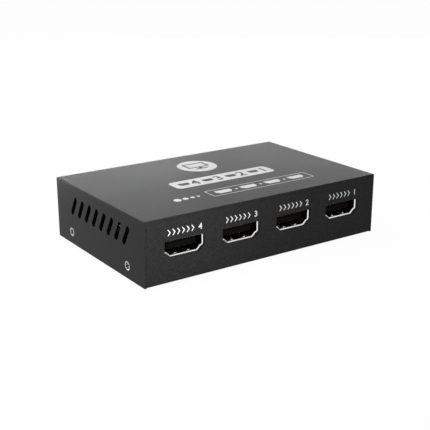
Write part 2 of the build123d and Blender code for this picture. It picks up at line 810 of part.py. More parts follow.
# Chip resistors in one row behind the surge guards, and chip capacitors in the next
resistor_y = line_chip_y + line_chip_width / 2 + row_gap + small_chip_length / 2
capacitor_y = resistor_y + small_chip_length + row_gap
with BuildPart() as chip_resistors:
    with BuildSketch(Plane.XY.offset(board_top)):
        with Locations((0, resistor_y)):
            with GridLocations(output_pitch, 0, output_count, 1):
                with GridLocations(small_chip_pitch, 0, small_chip_count, 1):
                    Rectangle(small_chip_width, small_chip_length)
    extrude(amount=small_chip_height)
chip_resistors.part.label = "chip_resistors"
export_step(chip_resistors.part, "parts/chip_resistors.step")

with BuildPart() as chip_capacitors:
    with BuildSketch(Plane.XY.offset(board_top)):
        with Locations((0, capacitor_y)):
            with GridLocations(output_pitch, 0, output_count, 1):
                with GridLocations(2 * small_chip_pitch, 0, small_chip_count // 2, 1):
                    Rectangle(small_chip_width, small_chip_length)
    extrude(amount=small_chip_height)
chip_capacitors.part.label = "chip_capacitors"
export_step(chip_capacitors.part, "parts/chip_capacitors.step")

# Voltage regulators in a row behind the chip capacitors, each with a heat tab on one side
regulator_y = capacitor_y + (small_chip_length + regulator_width) / 2 + row_gap
regulator_places = [(share * board_width / 2, regulator_y) for share in regulator_column_shares]
with BuildPart() as voltage_regulators:
    with BuildSketch(Plane.XY.offset(board_top)):
        with Locations(*regulator_places):
            Rectangle(regulator_length, regulator_width)
    extrude(amount=regulator_height)
    with BuildSketch(Plane.XY.offset(board_top)):
        with Locations(*regulator_places):
            with Locations((0, (regulator_width + regulator_tab_reach) / 2)):
                Rectangle(regulator_tab_width, regulator_tab_reach)
    extrude(amount=regulator_tab_height)
voltage_regulators.part.label = "voltage_regulators"
export_step(voltage_regulators.part, "parts/voltage_regulators.step")

# Power choke and crystal
with BuildPart() as power_choke:
    with BuildSketch(Plane.XY.offset(board_top)):
        with Locations(on_board(choke_place_shares)):
            Rectangle(choke_side, choke_side)
    extrude(amount=choke_height)
    chamfer(power_choke.edges().filter_by(Axis.Z), length=choke_corner)
power_choke.part.label = "power_choke"
export_step(power_choke.part, "parts/power_choke.step")

with BuildPart() as crystal:
    with BuildSketch(Plane.XY.offset(board_top)):
        with Locations(on_board(crystal_place_shares)):
            Rectangle(crystal_width, crystal_length)
    extrude(amount=crystal_height)
    with BuildSketch(Plane.XY.offset(board_top + crystal_height)):
        with Locations(on_board(crystal_place_shares)):
            Rectangle(crystal_width - crystal_lid_inset, crystal_length - crystal_lid_inset)
    extrude(amount=crystal_lid_height)
crystal.part.label = "crystal"
export_step(crystal.part, "parts/crystal.step")

# Electrolytic capacitors: a can on a moulded base
can_places = [on_board(shares) for shares in can_place_shares]
with BuildPart() as capacitor_bases:
    with BuildSketch(Plane.XY.offset(board_top)):
        with Locations(*can_places):
            Rectangle(can_base_side, can_base_side)
    extrude(amount=can_base_height)
    base_corners = capacitor_bases.edges().filter_by(Axis.Z)
    chamfer(base_corners, length=can_base_bevel)
capacitor_bases.part.label = "capacitor_bases"
export_step(capacitor_bases.part, "parts/capacitor_bases.step")

with BuildPart() as capacitor_cans:
    with BuildSketch(Plane.XY.offset(board_top + can_base_height)):
        with Locations(*can_places):
            RegularPolygon(can_radius, hidden_sides)
    extrude(amount=can_height)
capacitor_cans.part.label = "capacitor_cans"
export_step(capacitor_cans.part, "parts/capacitor_cans.step")
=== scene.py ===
import math

import bpy
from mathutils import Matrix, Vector


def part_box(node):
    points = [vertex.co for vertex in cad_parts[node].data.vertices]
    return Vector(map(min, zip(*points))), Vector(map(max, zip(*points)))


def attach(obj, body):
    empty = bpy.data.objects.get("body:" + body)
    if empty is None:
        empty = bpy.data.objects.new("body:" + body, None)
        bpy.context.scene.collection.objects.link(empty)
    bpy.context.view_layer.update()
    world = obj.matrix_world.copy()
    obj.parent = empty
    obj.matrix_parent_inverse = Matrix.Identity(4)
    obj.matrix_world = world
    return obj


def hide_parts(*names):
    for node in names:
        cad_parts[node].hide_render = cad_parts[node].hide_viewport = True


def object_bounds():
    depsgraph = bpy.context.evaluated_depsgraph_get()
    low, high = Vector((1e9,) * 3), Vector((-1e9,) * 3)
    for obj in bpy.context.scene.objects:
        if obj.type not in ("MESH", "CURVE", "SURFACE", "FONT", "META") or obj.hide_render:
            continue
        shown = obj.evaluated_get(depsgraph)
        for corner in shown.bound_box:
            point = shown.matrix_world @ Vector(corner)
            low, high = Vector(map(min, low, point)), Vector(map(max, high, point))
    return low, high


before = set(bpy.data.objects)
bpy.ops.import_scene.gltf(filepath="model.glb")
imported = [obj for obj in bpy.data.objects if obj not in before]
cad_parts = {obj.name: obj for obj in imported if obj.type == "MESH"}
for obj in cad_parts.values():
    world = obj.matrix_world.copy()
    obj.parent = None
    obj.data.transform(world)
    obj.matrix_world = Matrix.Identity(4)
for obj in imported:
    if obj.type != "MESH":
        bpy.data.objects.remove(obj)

# A video splitter in a black powder-coated steel housing. Metres, +Z up, outputs towards -Y.
# The frame gives every place. The finer sizes that it doesn't give are named here.

MM = 0.001
TINY = MM / 1000
BODY = "housing"
SWITCH_BODY = "power_slider"
OUTPUT_COUNT = 4
SOCKETS = ("output_1", "output_2", "output_3", "output_4", "input")
cad_low, cad_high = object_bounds()

# Folded sheet
SHEET = 0.8 * MM
BEND_RADIUS = 0.35 * MM
SHEET_EDGE = 0.05 * MM
OVERRUN = 1.0 * MM

# Cooling slots, whose ends are rounded by just under half their width
SLOT_COUNT = 8
SLOT_PITCH = 5.22 * MM
SLOT_LENGTH = 7.7 * MM
SLOT_WIDTH = 2.0 * MM
SLOT_LEAN = math.radians(30)
SLOT_LEVEL = 14.4 * MM
SLOT_ROW_SHIFT = 1.15 * MM
SLOT_ROUND_SHARE = 0.499

# Countersinks in the cover, which open a little past the screw heads
SINK_DEPTH = 1.2 * MM
SINK_SPARE = 0.2 * MM

# Cross-recess screws, each turned as it was left by the screwdriver
SCREW_SINK = 0.10 * MM
SHANK_LENGTH = 2.4 * MM
HEAD_RIM = 0.24 * MM
HEAD_DISH = 0.05 * MM
HEAD_EDGE = 0.04 * MM
RECESS_LENGTH = 2.6 * MM
RECESS_WIDTH = 0.72 * MM
RECESS_DEPTH = 0.9 * MM
RECESS_TAPER = (0.45, 0.6, 1)
TURN_DEGREES = 40
TURN_DEGREES_ALONG = 25
TURN_DEGREES_ACROSS = 10

# Video socket
MOUTH_WIDTH = 14.0 * MM
MOUTH_HEIGHT = 4.65 * MM
MOUTH_SIDE = 3.1 * MM
MOUTH_LEDGE = 0.85 * MM
MOUTH_LEDGE_DROP = 0.3 * MM
MOUTH_FLOOR = 9.9 * MM
SHELL_WALL = 0.4 * MM
SHELL_DEPTH = 10.6 * MM
SHELL_EDGE = 0.03 * MM
LEAD_IN = 0.28 * MM
FOLD_RADIUS = 0.22 * MM
LEG_WIDTH = 1.4 * MM
LEG_PLACES = (3.2 * MM, 8.8 * MM)
LEG_TIP_SHARE = 0.6
SPRING_SPACING = 5.0 * MM
SPRING_WIDTH = 1.7 * MM
SPRING_LENGTH = 5.2 * MM
SPRING_SLIT = 0.3 * MM
SPRING_TIP = 0.7 * MM
DIMPLE_SETBACK = 0.5 * MM
DIMPLE_RADIUS = 0.55 * MM
DIMPLE_HEIGHT = 0.32 * MM

# Softened edges of the pieces that keep their CAD shape
INSERT_EDGE = 0.06 * MM
FOOT_EDGE = 0.30 * MM
JACK_EDGE = 0.10 * MM
JACK_PIN_EDGE = 0.15 * MM
SWITCH_CAN_EDGE = 0.05 * MM
LEVER_EDGE = 0.10 * MM
LAMP_EDGE = 0.10 * MM
COOLING_BLOCK_EDGE = 0.08 * MM
CAPACITOR_EDGE = 0.25 * MM

# Printed marks, generic ones in the places of the real ones. Their shapes are 1 mm thick while
# they are drawn, and are then pressed flat.
INK = 0.02 * MM
DRAWN = 1.0 * MM
DIGIT_BOLDNESS = 0.022
LABEL_HEIGHT = 2.05 * MM
LABEL_LEVEL = 16.8 * MM
LABEL_DIGIT_PLACE = 5.75 * MM
CHEVRON_COUNT = 6
CHEVRON_FIRST = -5.8 * MM
CHEVRON_PITCH = 1.75 * MM
CHEVRON_REACH = 0.70 * MM
CHEVRON_STROKE = 0.32 * MM
SYMBOL_PLACE = Vector((1.5 * MM, 14.8 * MM))
SYMBOL_RADIUS = 7.5 * MM
SCREEN_SIZE = (9.2 * MM, 5.8 * MM)
SCREEN_MIDDLE = 1.1 * MM
SCREEN_LINE = 0.95 * MM
STAND_SIZE = (1.4 * MM, 1.2 * MM)
STAND_FOOT = (5.0 * MM, 1.0 * MM)
BAR_PLACE = Vector((0.75 * MM, -3.0 * MM))
BAR_SIZE = (41.9 * MM, 8.2 * MM)
BAR_CORNER = 2.0 * MM
BAR_DIGIT_HEIGHT = 4.8 * MM
BAR_DIGIT_SHIFT = 2.9 * MM
BAR_SIGN_SHIFT = -1.5 * MM
BAR_SIGN_SIZE = (4.3 * MM, 2.6 * MM)
BAR_PITCH = 9.9 * MM
FRAME_PLACE = Vector((6.6 * MM, -17.45 * MM))
FRAME_SIZE = (43.2 * MM, 6.7 * MM)
FRAME_LINE = 0.28 * MM
FRAME_CORNER = 0.8 * MM
SIGN_PITCH = 10.4 * MM
SIGN_SIZE = (6.4 * MM, 2.9 * MM)
SIGN_DOT_RADIUS = 0.55 * MM
DOT_PLACES = (-27.4 * MM, -24.3 * MM, -21.6 * MM, -19.3 * MM)
DOT_RADII = (1.35 * MM, 1.05 * MM, 0.80 * MM, 0.60 * MM)

# The span that a noise value mostly fills
NOISE_LOW = 0.35
NOISE_HIGH = 0.65

# Copper tracks under the board's solder mask
TRACKS_PER_METRE = 260.0
TRACK_SHARE = 0.045
TRACK_RISE = 0.02 * MM

# Studio
FLOOR_SIDE = 12
FLOOR_PAINT = 0.80
FLOOR_WHITE_SHARE = 0.97
WORLD_LIGHT = 0.45
CAMERA_PLACE = (-171.58 * MM, -247.46 * MM, 107.17 * MM)
CAMERA_AZIMUTH = math.radians(-34.647)
CAMERA_ELEVATION = math.radians(18.207)
CAMERA_LENS = 73.12
CAMERA_SENSOR = 36.0
CAMERA_CLIP = 0.01


def take(*pieces):
    """Selects these pieces and nothing else, the first one active."""
    bpy.ops.object.select_all(action="DESELECT")
    for piece in pieces:
        piece.select_set(True)
    bpy.context.view_layer.objects.active = pieces[0]
    return pieces[0]


def settle(piece):
    """Puts a piece's place, turn and scale into its mesh."""
    take(piece)
    bpy.ops.object.transform_apply(location=True, rotation=True, scale=True)
    return piece


def new_block(size, middle, turn=(0, 0, 0)):
    """A cube of the given size, to be shaped further."""
    bpy.ops.object.select_all(action="DESELECT")
    bpy.ops.mesh.primitive_cube_add(size=1, location=middle, rotation=turn)
    block = bpy.context.active_object
    block.scale = size
    bpy.ops.object.transform_apply(location=False, rotation=False, scale=True)
    return block


def select_faces(piece, wanted):
    """Enters edit mode with the faces selected for which wanted(middle, normal) is true."""
    take(piece)
    bpy.ops.object.mode_set(mode="EDIT")
    bpy.ops.mesh.select_mode(type="FACE")
    bpy.ops.mesh.select_all(action="DESELECT")
    bpy.ops.object.mode_set(mode="OBJECT")
    for face in piece.data.polygons:
        face.select = wanted(face.center, face.normal)
    bpy.ops.object.mode_set(mode="EDIT")


def select_edges(piece, wanted):
    """Enters edit mode with the edges selected for which wanted(one end, other end) is true."""
    take(piece)
    bpy.ops.object.mode_set(mode="EDIT")
    bpy.ops.mesh.select_mode(type="EDGE")
    bpy.ops.mesh.select_all(action="DESELECT")
    bpy.ops.object.mode_set(mode="OBJECT")
    points = piece.data.vertices
    for edge in piece.data.edges:
        first, second = (points[n].co for n in edge.vertices)
        edge.select = wanted(first, second)
    bpy.ops.object.mode_set(mode="EDIT")


def select_whole(piece, kind="FACE"):
    """Enters edit mode with everything selected."""
    take(piece)
    bpy.ops.object.mode_set(mode="EDIT")
    bpy.ops.mesh.select_mode(type=kind)
    bpy.ops.mesh.select_all(action="SELECT")


def leave_edit():
    """Goes back to object mode."""
    bpy.ops.object.mode_set(mode="OBJECT")


def apply_modifier(piece, kind, **values):
    """Adds a modifier with these values and applies it."""
    take(piece)
    modifier = piece.modifiers.new(kind.title(), kind)
    for name, value in values.items():
        setattr(modifier, name, value)
    bpy.ops.object.modifier_apply(modifier=modifier.name)


def cut(piece, tool, operation="DIFFERENCE", use_self=False):
    """Cuts a tool out of a piece, or joins it on. New faces keep the tool's material."""
    apply_modifier(
        piece, "BOOLEAN", operation=operation, object=tool, solver="EXACT",
        material_mode="TRANSFER", use_self=use_self,
    )
    bpy.data.objects.remove(tool)


def join(pieces):
    """Joins pieces into the first one."""
    take(*pieces)
    bpy.ops.object.join()
    return bpy.context.active_object


def copied(piece, shift=(0, 0, 0)):
    """A copy with its own mesh, moved by shift."""
    take(piece)
    bpy.ops.object.duplicate(linked=False)
    copy = bpy.context.active_object
    copy.location = Vector(copy.location) + Vector(shift)
    return settle(copy)


def soften(piece, width, angle=35, edge_slot=-1):
    """Rounds the crisp edges of a piece and shades it smoothly, with its large faces flat.

    The rounded edges take the material in edge_slot, or that of the faces beside them.
    """
    apply_modifier(
        piece, "BEVEL", width=width, segments=2, limit_method="ANGLE", material=edge_slot,
        angle_limit=math.radians(angle), use_clamp_overlap=True, miter_outer="MITER_ARC",
    )
    take(piece)
    bpy.ops.object.shade_smooth_by_angle(angle=math.radians(angle))
    apply_modifier(piece, "WEIGHTED_NORMAL", mode="FACE_AREA", weight=50, keep_sharp=True)


def finish_piece(piece, name, replaced=(), body=BODY, material=None):
    """Names a piece, gives it its material, ties it to its body, and hides the CAD nodes that it
    replaces.
    """
    piece.name = name
    piece.data.name = name
    if material:
        piece.data.materials.clear()
        piece.data.materials.append(material)
    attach(piece, body)
    if replaced:
        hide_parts(*replaced)
    return piece


def dressed(node, width, material, name, body=BODY):
    """A copy of a CAD node's mesh, merged, with its edges rounded a little."""
    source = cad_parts[node]
    piece = bpy.data.objects.new(name, source.data.copy())
    bpy.context.scene.collection.objects.link(piece)
    select_whole(piece, "VERT")
    bpy.ops.mesh.remove_doubles(threshold=TINY)
    bpy.ops.mesh.dissolve_limited(angle_limit=math.radians(1))
    leave_edit()
    if piece.data.has_custom_normals:
        bpy.ops.mesh.customdata_custom_splitnormals_clear()
    soften(piece, width)
    return finish_piece(piece, name, (node,), body, material)


# Shader groups that several materials share


def new_group(name, inputs, outputs):
    """A shader group with its sockets, and its input and output nodes."""
    group = bpy.data.node_groups.new(name, "ShaderNodeTree")
    for label, value in inputs.items():
        socket = group.interface.new_socket(label, in_out="INPUT", socket_type="NodeSocketFloat")
        socket.default_value = value
    for label, kind in outputs.items():
        group.interface.new_socket(label, in_out="OUTPUT", socket_type=kind)
    return group, group.nodes.new("NodeGroupInput"), group.nodes.new("NodeGroupOutput")


def grain_group():
    """Fine grain and broad patches, on the object's own coordinates."""
    group, given, put = new_group(
        "surface grain",
        {"Fine per metre": 2200.0, "Broad per metre": 60.0},
        {"Fine": "NodeSocketFloat", "Broad": "NodeSocketFloat"},
    )
    nodes, links = group.nodes, group.links
    place = nodes.new("ShaderNodeTexCoord")
    fine = nodes.new("ShaderNodeTexNoise")
    fine.inputs["Detail"].default_value = 3.0
    fine.inputs["Roughness"].default_value = 0.65
    broad = nodes.new("ShaderNodeTexNoise")
    broad.inputs["Detail"].default_value = 2.0
    links.new(place.outputs["Object"], fine.inputs["Vector"])
    links.new(place.outputs["Object"], broad.inputs["Vector"])
    links.new(given.outputs["Fine per metre"], fine.inputs["Scale"])
    links.new(given.outputs["Broad per metre"], broad.inputs["Scale"])
    links.new(fine.outputs["Fac"], put.inputs["Fine"])
    links.new(broad.outputs["Fac"], put.inputs["Broad"])
    return group


def edge_group():
    """A mask that is 1 along outer edges, where a finish thins, and which also paints a
    highlight there.
    """
    group, given, put = new_group(
        "worn and highlighted edges", {"Radius": 0.2 * MM, "Gain": 6.0}, {"Mask": "NodeSocketFloat"}
    )
    nodes, links = group.nodes, group.links
    rounded_normal = nodes.new("ShaderNodeBevel")
    rounded_normal.samples = 4
    surface = nodes.new("ShaderNodeNewGeometry")
    compare = nodes.new("ShaderNodeVectorMath")
    compare.operation = "DOT_PRODUCT"
    rest = nodes.new("ShaderNodeMath")
    rest.operation = "SUBTRACT"
    rest.inputs[0].default_value = 1.0
    gain = nodes.new("ShaderNodeMath")
    gain.operation = "MULTIPLY"
    gain.use_clamp = True
    links.new(given.outputs["Radius"], rounded_normal.inputs["Radius"])
    links.new(rounded_normal.outputs["Normal"], compare.inputs[0])
    links.new(surface.outputs["Normal"], compare.inputs[1])
    links.new(compare.outputs["Value"], rest.inputs[1])
    links.new(rest.outputs["Value"], gain.inputs[0])
    links.new(given.outputs["Gain"], gain.inputs[1])
    links.new(gain.outputs["Value"], put.inputs["Mask"])
    return group


GRAIN = grain_group()
EDGES = edge_group()


def placed_group(material, group, **values):
    """A shader group put into a material, with its inputs set."""
    node = material.node_tree.nodes.new("ShaderNodeGroup")
    node.node_tree = group
    for name, value in values.items():
        node.inputs[name.replace("_", " ")].default_value = value
    return node


def new_material(name, metallic=0.0, specular=0.5, transmission=0.0):
    """A material and its Principled shader, with the constant values set on it."""
    material = bpy.data.materials.new(name)
    material.use_nodes = True
    shader = material.node_tree.nodes["Principled BSDF"]
    shader.inputs["Metallic"].default_value = metallic
    shader.inputs["Specular IOR Level"].default_value = specular
    shader.inputs["Transmission Weight"].default_value = transmission
    return material, shader


def mixed(material, mask, first, second):
    """A colour between two, by a mask."""
    node = material.node_tree.nodes.new("ShaderNodeMix")
    node.data_type = "RGBA"
    material.node_tree.links.new(mask, node.inputs["Factor"])
    for socket, colour in ((node.inputs[6], first), (node.inputs[7], second)):
        if isinstance(colour, tuple):
            socket.default_value = (*colour, 1)
        else:
            material.node_tree.links.new(colour, socket)
    return node.outputs[2]


def ranged(material, value, low, high):
    """A value from low to high, as a noise value goes over the span that noise mostly fills."""
    node = material.node_tree.nodes.new("ShaderNodeMapRange")
    node.inputs["From Min"].default_value = NOISE_LOW
    node.inputs["From Max"].default_value = NOISE_HIGH
    node.inputs["To Min"].default_value = low
    node.inputs["To Max"].default_value = high
    material.node_tree.links.new(value, node.inputs["Value"])
    return node.outputs["Result"]


def raised(material, shader, height, depth):
    """A bump of the given depth."""
    node = material.node_tree.nodes.new("ShaderNodeBump")
    node.inputs["Strength"].default_value = 1.0
    node.inputs["Distance"].default_value = depth
    material.node_tree.links.new(height, node.inputs["Height"])
    material.node_tree.links.new(node.outputs["Normal"], shader.inputs["Normal"])


def plain_finish(name, dark, light, rough, fine, broad, depth, edge=None, **kind):
    """A finish with grain in its colour, roughness and height, and if wanted paler edges, partly
    wear and partly painted highlight.
    """
    material, shader = new_material(name, **kind)
    links = material.node_tree.links
    grain = placed_group(material, GRAIN, Fine_per_metre=fine, Broad_per_metre=broad)
    tone = ranged(material, grain.outputs["Fine"], 0, 1)
    colour = mixed(material, tone, dark, light)
    if edge:
        # Paler edges: partly wear, partly painted highlight.
        wear_and_highlight = placed_group(material, EDGES)
        colour = mixed(material, wear_and_highlight.outputs["Mask"], colour, edge)
    links.new(colour, shader.inputs["Base Color"])
    links.new(ranged(material, grain.outputs["Broad"], *rough), shader.inputs["Roughness"])
    raised(material, shader, grain.outputs["Fine"], depth)
    return material


# Its paler edges are partly wear and partly a painted highlight.
powder_coat = plain_finish(
    "black powder coat", (0.016, 0.016, 0.016), (0.025, 0.025, 0.025), (0.285, 0.335),
    fine=1500.0, broad=45.0, depth=0.003 * MM, edge=(0.030, 0.030, 0.030), specular=0.04,
)
nickel = plain_finish(
    "bright nickel plate", (0.88, 0.88, 0.87), (0.94, 0.94, 0.93), (0.26, 0.38),
    fine=1800.0, broad=300.0, depth=0.002 * MM, metallic=1.0,
)
# Painted shade: the shell's inner wall is nickel, coloured near black here for the shade inside
# the socket's mouth.
painted_shade_inside = plain_finish(
    "socket inside painted black as shade", (0.003, 0.0026, 0.0024), (0.006, 0.005, 0.0045), (0.70, 0.84),
    fine=2400.0, broad=400.0, depth=0.003 * MM, specular=0.0,
)
zinc = plain_finish(
    "zinc-plated steel", (0.46, 0.46, 0.46), (0.58, 0.58, 0.58), (0.30, 0.44),
    fine=3000.0, broad=500.0, depth=0.003 * MM, metallic=1.0,
)
# Painted shade: the screws' own zinc made darker on the dished face of each head, so that the
# rim reads as a lit ring.
shaded_head_face = plain_finish(
    "screw head face darkened as painted shade", (0.20, 0.20, 0.20), (0.30, 0.30, 0.30), (0.36, 0.50),
    fine=3000.0, broad=500.0, depth=0.003 * MM, metallic=1.0,
)
# Painted shade: the walls of each screw's cross recess are coloured near black for the shade in
# them.
painted_shade_recess = plain_finish(
    "screw recess painted black as shade", (0.004, 0.004, 0.004), (0.009, 0.009, 0.009), (0.60, 0.76),
    fine=4000.0, broad=600.0, depth=0.006 * MM, specular=0.05,
)
# Painted shade: the walls of the cooling slots and the countersinks are coloured near black for
# the shade in them.
painted_shade_edge = plain_finish(
    "cut edge painted black as shade", (0.002, 0.002, 0.002), (0.005, 0.005, 0.005), (0.66, 0.80),
    fine=3000.0, broad=400.0, depth=0.006 * MM, specular=0.0,
)
# Partly painted shade: black plastic, coloured darker than black plastic is, for the shade on
# the tongues deep in the sockets.
moulding = plain_finish(
    "black moulded plastic darkened as painted shade", (0.003, 0.0026, 0.0023), (0.006, 0.005, 0.0045), (0.54, 0.68),
    fine=4000.0, broad=200.0, depth=0.004 * MM, specular=0.03,
)
# Painted shade: gold plating coloured far darker than gold, for the shade on the contacts inside
# the sockets.
gold = plain_finish(
    "gold-plated contact darkened as painted shade", (0.050, 0.028, 0.012), (0.085, 0.048, 0.020), (0.44, 0.60),
    fine=3000.0, broad=400.0, depth=0.002 * MM, metallic=1.0,
)
tinned = plain_finish(
    "tinned metal", (0.52, 0.52, 0.50), (0.66, 0.66, 0.64), (0.30, 0.48),
    fine=2500.0, broad=400.0, depth=0.003 * MM, metallic=1.0,
)
brass = plain_finish(
    "turned brass", (0.55, 0.40, 0.17), (0.68, 0.51, 0.24), (0.24, 0.38),
    fine=2500.0, broad=300.0, depth=0.003 * MM, metallic=1.0,
)
aluminium = plain_finish(
    "drawn aluminium", (0.58, 0.59, 0.60), (0.70, 0.71, 0.72), (0.34, 0.50),
    fine=2200.0, broad=300.0, depth=0.004 * MM, metallic=1.0,
)
chip_black = plain_finish(
    "chip moulding", (0.018, 0.018, 0.019), (0.030, 0.030, 0.031), (0.50, 0.66),
    fine=6000.0, broad=300.0, depth=0.004 * MM, specular=0.4,
)
ceramic = plain_finish(
    "tan ceramic", (0.34, 0.24, 0.15), (0.48, 0.36, 0.24), (0.40, 0.60),
    fine=5000.0, broad=500.0, depth=0.003 * MM,
)
pad_grey = plain_finish(
    "silicone pad", (0.30, 0.34, 0.38), (0.40, 0.44, 0.48), (0.60, 0.80),
    fine=3000.0, broad=200.0, depth=0.010 * MM,
)
foot_rubber = plain_finish(
    "black rubber", (0.020, 0.020, 0.020), (0.034, 0.034, 0.035), (0.66, 0.82),
    fine=3000.0, broad=150.0, depth=0.012 * MM, specular=0.3,
)
lamp_red = plain_finish(
    "clear red resin", (0.55, 0.03, 0.025), (0.66, 0.05, 0.04), (0.08, 0.16),
    fine=1500.0, broad=300.0, depth=0.001 * MM, transmission=0.5,
)
slider_black = plain_finish(
    "black slider moulding", (0.018, 0.018, 0.018), (0.028, 0.028, 0.028), (0.36, 0.48),
    fine=3500.0, broad=250.0, depth=0.004 * MM, specular=0.4,
)
white_ink = plain_finish(
    "white printing ink", (0.66, 0.66, 0.66), (0.74, 0.74, 0.74), (0.50, 0.64),
    fine=2600.0, broad=120.0, depth=0.006 * MM, specular=0.3,
)


def board_finish():
    """Black solder mask, with copper tracks that show through as a slightly paler black."""
    material, shader = new_material("black solder mask", specular=0.5)
    nodes, links = material.node_tree.nodes, material.node_tree.links
    grain = placed_group(material, GRAIN, Fine_per_metre=2000.0, Broad_per_metre=150.0)
    place = nodes.new("ShaderNodeTexCoord")
    tracks = nodes.new("ShaderNodeTexBrick")
    tracks.inputs["Scale"].default_value = TRACKS_PER_METRE
    tracks.inputs["Mortar Size"].default_value = TRACK_SHARE
    tracks.inputs["Color1"].default_value = (0, 0, 0, 1)
    tracks.inputs["Color2"].default_value = (0, 0, 0, 1)
    tracks.inputs["Mortar"].default_value = (1, 1, 1, 1)
    links.new(place.outputs["Object"], tracks.inputs["Vector"])
    base = mixed(material, grain.outputs["Fine"], (0.006, 0.007, 0.007), (0.010, 0.011, 0.011))
    colour = mixed(material, tracks.outputs["Color"], base, (0.022, 0.024, 0.022))
    links.new(colour, shader.inputs["Base Color"])
    links.new(ranged(material, grain.outputs["Broad"], 0.28, 0.40), shader.inputs["Roughness"])
    raised(material, shader, tracks.outputs["Color"], TRACK_RISE)
    return material


solder_mask = board_finish()


# Housing


def make_cover():
    """Upper sheet: a block with rounded folds, hollowed from below, slotted and countersunk."""
    low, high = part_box("top_cover")
    size = high - low
    cover = settle(new_block(size, (low + high) / 2))
    select_edges(cover, lambda a, b: min(a.z, b.z) > high.z - SHEET and abs(a.x - b.x) < SHEET)
    bpy.ops.mesh.bevel(offset=BEND_RADIUS, segments=6, profile=0.5, affect="EDGES")
    leave_edit()
    cover.data.materials.append(powder_coat)
    room_size = (size.x - 2 * SHEET, size.y + 2 * OVERRUN, size.z)
    room = new_block(room_size, (low + high) / 2 - Vector((0, 0, SHEET)))
    room.data.materials.append(powder_coat)
    cut(cover, room)

    reach = size.x + 2 * OVERRUN
    row_start = (low.y + high.y) / 2 - SLOT_ROW_SHIFT - (SLOT_COUNT - 1) / 2 * SLOT_PITCH
    first = Vector((0, row_start, low.z + SLOT_LEVEL))
    slot = new_block((reach, SLOT_WIDTH, SLOT_LENGTH), first, turn=(SLOT_LEAN, 0, 0))
    select_edges(slot, lambda a, b: abs(a.x - b.x) > SLOT_LENGTH)
    bpy.ops.mesh.bevel(
        offset=SLOT_WIDTH * SLOT_ROUND_SHARE, segments=8, profile=0.5, affect="EDGES"
    )
    leave_edit()
    settle(slot)
    # The slot walls take the painted shade.
    slot.data.materials.append(painted_shade_edge)
    others = [copied(slot, (0, n * SLOT_PITCH, 0)) for n in range(1, SLOT_COUNT)]
    cut(cover, join([slot] + others))

    head = head_radius()
    for side in (-1, 1):
        for y in screw_places():
            bpy.ops.object.select_all(action="DESELECT")
            bpy.ops.mesh.primitive_cone_add(
                vertices=40, radius1=head - SHEET - SCREW_SINK, radius2=head + SINK_SPARE,
                depth=SINK_DEPTH,
                location=(side * (high.x - SHEET / 2), y, screw_level()),
                rotation=(0, side * math.pi / 2, 0),
            )
            sink = settle(bpy.context.active_object)
            # The countersink takes the painted shade.
            sink.data.materials.append(painted_shade_edge)
            cut(cover, sink)
    soften(cover, SHEET_EDGE, edge_slot=0)
    return finish_piece(cover, "housing_cover", ("top_cover",))


def head_radius():
    """The radius of the screw heads, which stand upright in the side walls."""
    low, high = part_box("cover_screws")
    return (high.z - low.z) / 2


def screw_places():
    """How far along Y the two screws of each side are."""
    low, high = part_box("cover_screws")
    return (low.y + head_radius(), high.y - head_radius())


def screw_level():
    """The level of all four screws."""
    low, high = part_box("cover_screws")
    return (low.z + high.z) / 2


def make_screws():
    """Countersunk screws: a dished disc drawn in to a shank, with a cross recess cut in it."""
    low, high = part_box("cover_screws")
    head = head_radius()
    shank = head - SHEET
    bpy.ops.object.select_all(action="DESELECT")
    bpy.ops.mesh.primitive_cylinder_add(
        vertices=48, radius=head, depth=SCREW_SINK, end_fill_type="NGON"
    )
    screw = bpy.context.active_object
    select_faces(screw, lambda middle, normal: normal.z < -0.9)
    bpy.ops.mesh.extrude_region_move(TRANSFORM_OT_translate={"value": (0, 0, -SHEET)})
    bpy.ops.transform.resize(value=(shank / head, shank / head, 1))
    bpy.ops.mesh.extrude_region_move(TRANSFORM_OT_translate={"value": (0, 0, -SHANK_LENGTH)})
    leave_edit()
    screw.data.materials.append(zinc)
    screw.data.materials.append(shaded_head_face)
    select_faces(screw, lambda middle, normal: normal.z > 0.9)
    bpy.ops.mesh.inset(thickness=HEAD_RIM)
    bpy.ops.mesh.inset(thickness=HEAD_DISH, depth=-HEAD_DISH)
    # The dished face takes the darker zinc, a painted shade inside the bright rim.
    screw.active_material_index = 1
    bpy.ops.object.material_slot_assign()
    leave_edit()
    for turn in (0, math.pi / 2):
        bar_size = (RECESS_LENGTH, RECESS_WIDTH, 2 * RECESS_DEPTH)
        bar = new_block(bar_size, (0, 0, 0), turn=(0, 0, turn))
        select_faces(bar, lambda middle, normal: normal.z < -0.5)
        bpy.ops.transform.resize(value=RECESS_TAPER)
        leave_edit()
        # The recess walls take the painted shade.
        bar.data.materials.append(painted_shade_recess)
        cut(screw, bar)
    soften(screw, HEAD_EDGE, angle=30)
    made = []
    for side in (-1, 1):
        for number, y in enumerate(screw_places()):
            one = copied(screw)
            one.rotation_euler = (0, side * math.pi / 2, 0)
            select_whole(settle(one))
            turn = TURN_DEGREES + TURN_DEGREES_ALONG * number + TURN_DEGREES_ACROSS * side
            bpy.ops.transform.rotate(
                value=math.radians(turn), orient_axis="X", center_override=(0, 0, 0)
            )
            leave_edit()
            one.location = (side * (high.x - SCREW_SINK / 2), y, screw_level())
            made.append(settle(one))
    bpy.data.objects.remove(screw)
    return finish_piece(join(made), "housing_screws", ("cover_screws",))


# Video sockets


